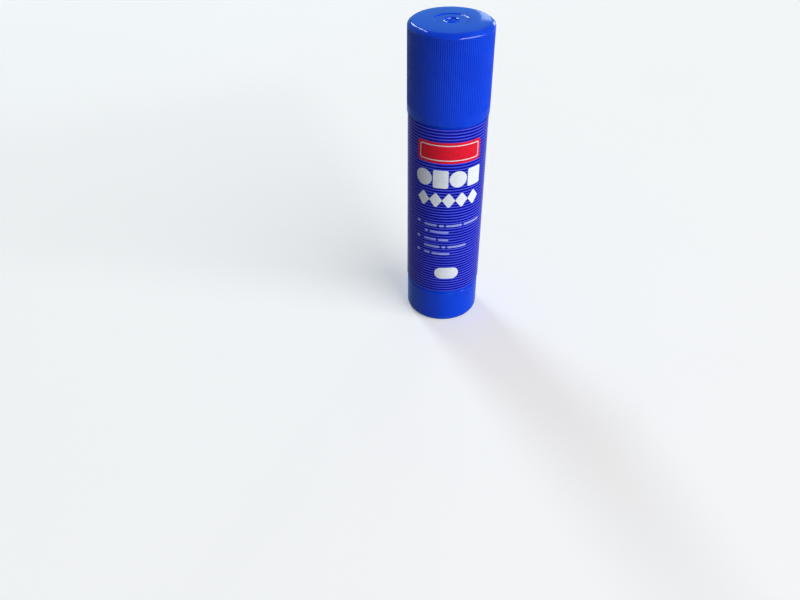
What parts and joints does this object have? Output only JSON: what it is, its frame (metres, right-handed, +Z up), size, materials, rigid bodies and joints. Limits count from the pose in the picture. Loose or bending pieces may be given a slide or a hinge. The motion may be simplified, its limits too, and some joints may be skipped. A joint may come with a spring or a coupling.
{
  "type": "glue stick",
  "caption": "Capped twist-up glue stick: ribbed pull-off cap, striped label on a round barrel, turning base, and a screw and carrier that lift the glue.",
  "frame": {"origin": "centre of the foot, on the surface that the stick stands on", "axes": "+Z up along the stick's axis, from the turning base to the cap; the printed front of the label faces -Y"},
  "size_m": [0.027, 0.027, 0.1084],
  "materials": {
    "blue_plastic": "glossy moulded polypropylene, cobalt blue",
    "label_film": "glossy printed film, dark blue with fine light blue lines",
    "white_plastic": "semi-matt natural white polypropylene",
    "glue_solid": "waxy, slightly translucent white"
  },
  "bodies": {
    "barrel": {"outer_barrel": "blue_plastic", "label": "label_film", "inner_tube": "white_plastic"},
    "knob": {"turn_knob": "blue_plastic", "feed_screw": "white_plastic"},
    "carrier": {"carrier": "white_plastic", "glue": "glue_solid"},
    "cap": {"cap": "blue_plastic"}
  },
  "joints": [
    {"name": "knob_turn", "type": "hinge", "parent": "barrel", "child": "knob", "pos_m": [0, 0, 0], "axis": [0, 0, 1], "range_deg": [0, 4320]},
    {"name": "carrier_lift", "type": "slide", "parent": "barrel", "child": "carrier", "axis": [0, 0, 1], "range_m": [0, 0.072]},
    {"name": "cap_pull", "type": "slide", "parent": "carrier", "child": "cap", "axis": [0, 0, 1], "range_m": [0, 0.035]}
  ],
  "couplings": [
    {"joint": "knob_turn", "follows": "carrier_lift", "rad_per_m": 1047.2}
  ]
}
